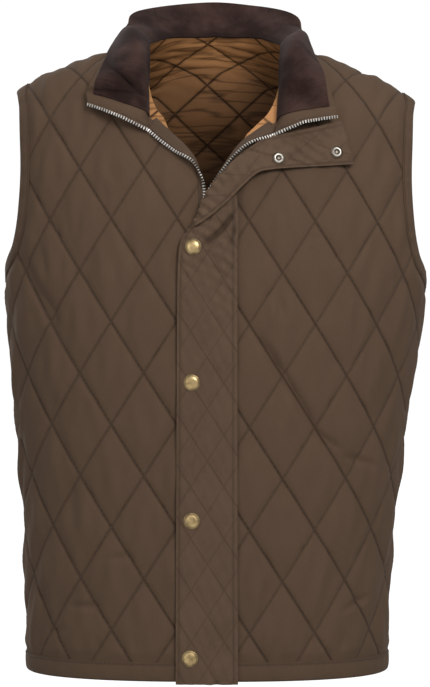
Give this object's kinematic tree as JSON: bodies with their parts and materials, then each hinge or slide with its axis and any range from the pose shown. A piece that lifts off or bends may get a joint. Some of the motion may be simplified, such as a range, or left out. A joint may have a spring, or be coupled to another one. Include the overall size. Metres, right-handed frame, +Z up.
{
  "type": "quilted sleeveless jacket",
  "caption": "Diamond-quilted sleeveless jacket with a corduroy-lined collar, zip front under a snapped storm flap, open at the neck.",
  "frame": {"origin": "middle of the neck, at the height where the shoulder seams meet the collar", "axes": "+Z up, -Y the garment's front, +X the wearer's left"},
  "size_m": [0.4553, 0.2564, 0.7366],
  "materials": {
    "shell": "matt brown quilted cotton",
    "band": "matt brown plain cotton",
    "flap": "matt brown cotton, lightly stitched",
    "lining": "tan quilted lining with a soft sheen",
    "corduroy": "very dark brown fine corduroy with a nap",
    "zip_tape": "woven brown tape",
    "brass": "aged, softly polished",
    "nickel": "satin nickel"
  },
  "bodies": {
    "jacket": {"front_right": "shell", "front_left": "shell", "back": "shell", "armhole_band_right": "band", "armhole_band_left": "band", "hem_band_front_right": "band", "hem_band_front_left": "band", "hem_band_back": "band", "collar_shell": "band", "storm_flap": "flap", "lining_front_right": "lining", "lining_front_left": "lining", "lining_back": "lining", "collar_facing": "corduroy", "zip_tape_right": "zip_tape", "zip_tape_left": "zip_tape", "snap_cap_top": "brass", "snap_cap_upper": "brass", "snap_cap_lower": "brass", "snap_cap_bottom": "brass", "snap_socket_lower": "nickel", "snap_socket_upper": "nickel", "zip_slider": "nickel"},
    "pull": {"zip_pull": "nickel"}
  },
  "joints": [
    {"name": "pull_hinge", "type": "hinge", "parent": "jacket", "child": "pull", "pos_m": [-0.0114, -0.12069, -0.177], "axis": [1, 0, 0], "range_deg": [-10, 0]}
  ]
}
